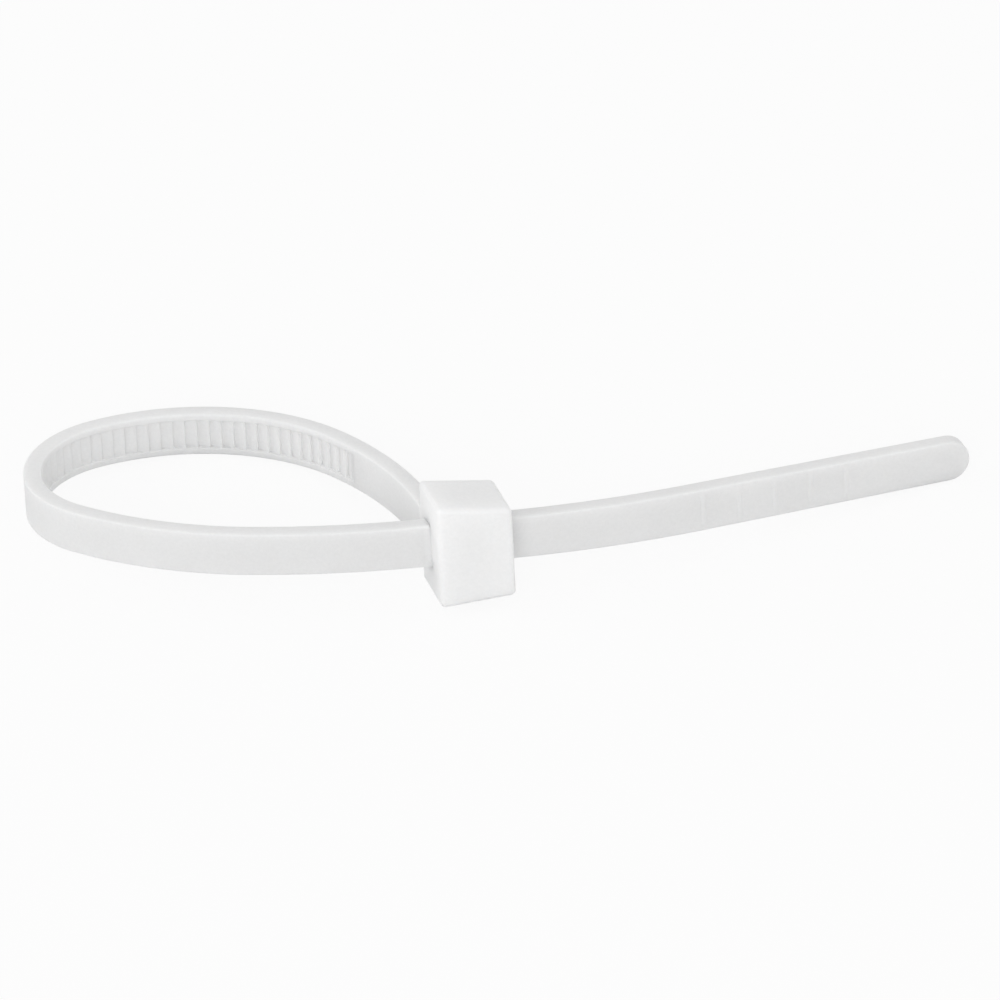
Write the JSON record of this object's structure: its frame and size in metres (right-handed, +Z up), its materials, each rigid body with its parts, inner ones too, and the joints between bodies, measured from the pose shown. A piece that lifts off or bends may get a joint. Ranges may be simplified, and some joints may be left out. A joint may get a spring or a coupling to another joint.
{
  "type": "cable tie",
  "caption": "Nylon cable tie closed into a loop: strap on edge with teeth inside, through a tapered locking head, into a free tail with grip ribs.",
  "frame": {"origin": "centre of the bundle seat, the round far end of the loop, half-way up the strap", "axes": "+Z up with the tie lying on its side as it comes to rest, so the seat's axis leans 9.6 degrees from +Z, mostly towards +Y; +X from the seat towards the tip of the tail"},
  "size_m": [0.0517, 0.017, 0.0065],
  "materials": {
    "natural_nylon": "satin, milky natural nylon"
  },
  "bodies": {
    "root": {"cable_tie": "natural_nylon"}
  },
  "joints": []
}
